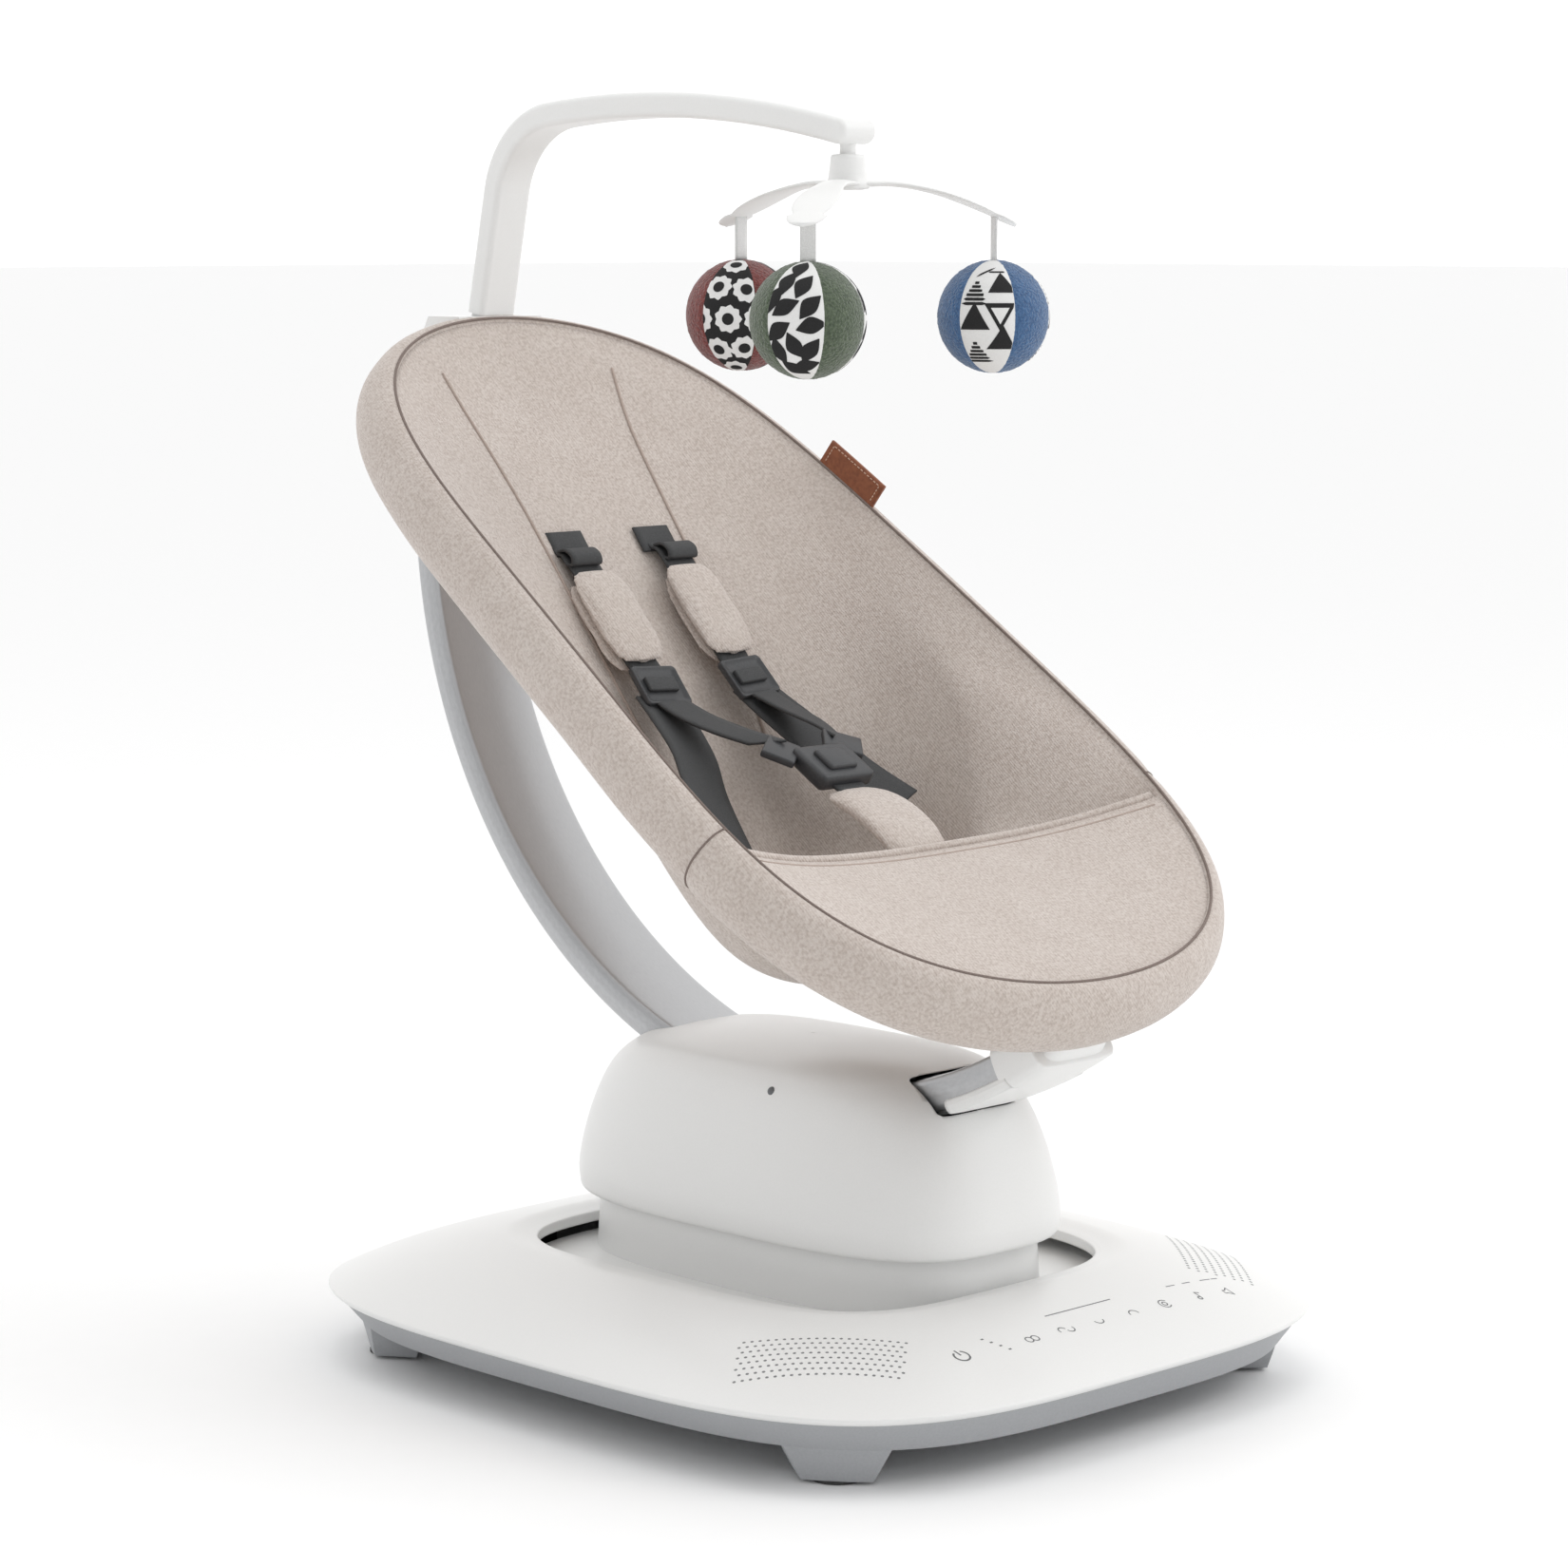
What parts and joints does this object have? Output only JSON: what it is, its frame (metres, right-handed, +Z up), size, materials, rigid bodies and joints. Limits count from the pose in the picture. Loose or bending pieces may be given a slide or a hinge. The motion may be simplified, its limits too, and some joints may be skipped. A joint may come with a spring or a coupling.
{
  "type": "baby swing",
  "caption": "Motorised infant swing: padded egg-shaped bucket seat on a curved metal bow, carried by a domed tower on a flat square base, with a hanging ball mobile.",
  "frame": {"origin": "centre of the whole swing's box at floor level", "axes": "+Z up, -Y towards the foot end and the touch panel, +X across the seat"},
  "size_m": [0.4957, 0.6295, 0.793],
  "materials": {
    "white_shell": "satin",
    "grey_pan": "matte",
    "black_plastic": "matte",
    "rubber_pad": "matte",
    "steel": "satin",
    "bronze": "satin",
    "bow_metal": "satin",
    "board": "matte",
    "white_nylon": "matte",
    "knit_fabric": "woven",
    "leather_tag": "matte",
    "webbing": "woven",
    "red_ball": "terry",
    "green_ball": "terry",
    "blue_ball": "terry",
    "white_ribbon": "woven"
  },
  "bodies": {
    "base": {"base_top_shell": "white_shell", "base_pan": "grey_pan", "pan_side_plugs": "grey_pan", "power_inlet": "black_plastic", "foot_pads": "rubber_pad", "slide_rails": "steel", "rail_brackets": "black_plastic", "sway_motor": "steel", "control_board": "board", "speaker_grilles": "white_shell", "speakers": "black_plastic"},
    "carriage": {"carriage_plate": "white_nylon", "guide_posts": "steel", "lift_motor": "steel", "slide_bushings": "white_nylon", "collar": "white_shell", "sway_rack": "white_nylon", "lift_spring": "steel"},
    "sway_gear": {"sway_pinion": "bronze"},
    "lift_gear": {"lift_pinion": "bronze"},
    "tower": {"tower_shell": "white_shell", "cradle": "black_plastic", "cradle_screws": "steel", "roller_pins": "steel", "post_bushings": "bronze", "lift_rack": "white_nylon", "recline_clamp": "rubber_pad"},
    "roller_1": {"roller_under_rear": "rubber_pad"},
    "roller_2": {"roller_under_front": "rubber_pad"},
    "roller_3": {"roller_over_rear": "rubber_pad"},
    "roller_4": {"roller_over_front": "rubber_pad"},
    "knob": {"recline_knob": "white_shell"},
    "seat": {"bow": "bow_metal", "bow_strip": "white_shell", "head_bracket": "white_shell", "foot_bracket": "white_shell", "ring_tube_left": "bow_metal", "ring_tube_right": "bow_metal", "rim_cover": "knit_fabric", "seat_sling": "knit_fabric", "foot_flap": "knit_fabric", "leather_tag": "leather_tag", "shoulder_straps": "webbing", "shoulder_pads": "knit_fabric", "strap_adjusters": "black_plastic", "hip_straps": "webbing", "lap_straps": "webbing", "buckle_tongues": "black_plastic", "buckle": "black_plastic", "crotch_strap": "webbing", "crotch_pad": "knit_fabric"},
    "release": {"buckle_button": "black_plastic"},
    "arm": {"mobile_arm": "white_shell"},
    "hub": {"mobile_hub": "white_shell"},
    "red": {"ball_red": "red_ball", "ribbon_red": "white_ribbon"},
    "green": {"ball_green": "green_ball", "ribbon_green": "white_ribbon"},
    "blue": {"ball_blue": "blue_ball", "ribbon_blue": "white_ribbon"}
  },
  "joints": [
    {"name": "sway", "type": "slide", "parent": "base", "child": "carriage", "axis": [1, 0, 0], "range_m": [-0.036, 0.036]},
    {"name": "sway_gear_turn", "type": "hinge", "parent": "base", "child": "sway_gear", "pos_m": [0, -0.03575, 0.05], "axis": [0, 0, 1], "range_deg": [-175, 175]},
    {"name": "lift", "type": "slide", "parent": "carriage", "child": "tower", "axis": [0, 0, 1], "range_m": [0, 0.038], "deforming": ["lift_spring"]},
    {"name": "lift_gear_turn", "type": "hinge", "parent": "carriage", "child": "lift_gear", "pos_m": [0.047, -0.03575, 0.112], "axis": [1, 0, 0], "range_deg": [-5, 190]},
    {"name": "recline", "type": "hinge", "parent": "tower", "child": "seat", "pos_m": [0, -0.05295, 0.5273], "axis": [1, 0, 0], "range_deg": [-14, 1.5]},
    {"name": "roller_1_turn", "type": "hinge", "parent": "tower", "child": "roller_1", "pos_m": [0, 0.0318, 0.16021], "axis": [1, 0, 0], "range_deg": [-601, 601]},
    {"name": "roller_2_turn", "type": "hinge", "parent": "tower", "child": "roller_2", "pos_m": [0, -0.09886, 0.15336], "axis": [1, 0, 0], "range_deg": [-601, 601]},
    {"name": "roller_3_turn", "type": "hinge", "parent": "tower", "child": "roller_3", "pos_m": [0, -0.02957, 0.19297], "axis": [1, 0, 0], "range_deg": [-562, 562]},
    {"name": "roller_4_turn", "type": "hinge", "parent": "tower", "child": "roller_4", "pos_m": [0, -0.07633, 0.19297], "axis": [1, 0, 0], "range_deg": [-562, 562]},
    {"name": "recline_lock", "type": "hinge", "parent": "tower", "child": "knob", "pos_m": [0, 0.12425, 0.138], "axis": [0, 1, 0], "range_deg": [0, 90]},
    {"name": "arm_lift_out", "type": "slide", "parent": "seat", "child": "arm", "axis": [0, -0.2079, 0.9781], "range_m": [0, 0.045]},
    {"name": "mobile_spin", "type": "hinge", "parent": "arm", "child": "hub", "pos_m": [0, -0.06375, 0.74], "axis": [0, 0, 1], "continuous": true},
    {"name": "release_press", "type": "slide", "parent": "seat", "child": "release", "axis": [0, 0.5736, -0.8192], "range_m": [0, 0.0028], "stiffness_N_per_m": 300, "springref_m": -0.001},
    {"name": "red_swing", "type": "hinge", "parent": "hub", "child": "red", "pos_m": [0, 0.02925, 0.7148], "axis": [-1, 0, 0], "range_deg": [-28, 28]},
    {"name": "green_swing", "type": "hinge", "parent": "hub", "child": "green", "pos_m": [-0.08054, -0.11025, 0.7148], "axis": [0.5, -0.866, 0], "range_deg": [-28, 28]},
    {"name": "blue_swing", "type": "hinge", "parent": "hub", "child": "blue", "pos_m": [0.08054, -0.11025, 0.7148], "axis": [0.5, 0.866, 0], "range_deg": [-28, 28]}
  ],
  "couplings": [
    {"joint": "sway_gear_turn", "follows": "sway", "rad_per_m": -83.333},
    {"joint": "lift_gear_turn", "follows": "lift", "rad_per_m": 83.333},
    {"joint": "roller_1_turn", "follows": "recline", "ratio": -40.856},
    {"joint": "roller_2_turn", "follows": "recline", "ratio": -40.856},
    {"joint": "roller_3_turn", "follows": "recline", "ratio": 38.244},
    {"joint": "roller_4_turn", "follows": "recline", "ratio": 38.244}
  ]
}
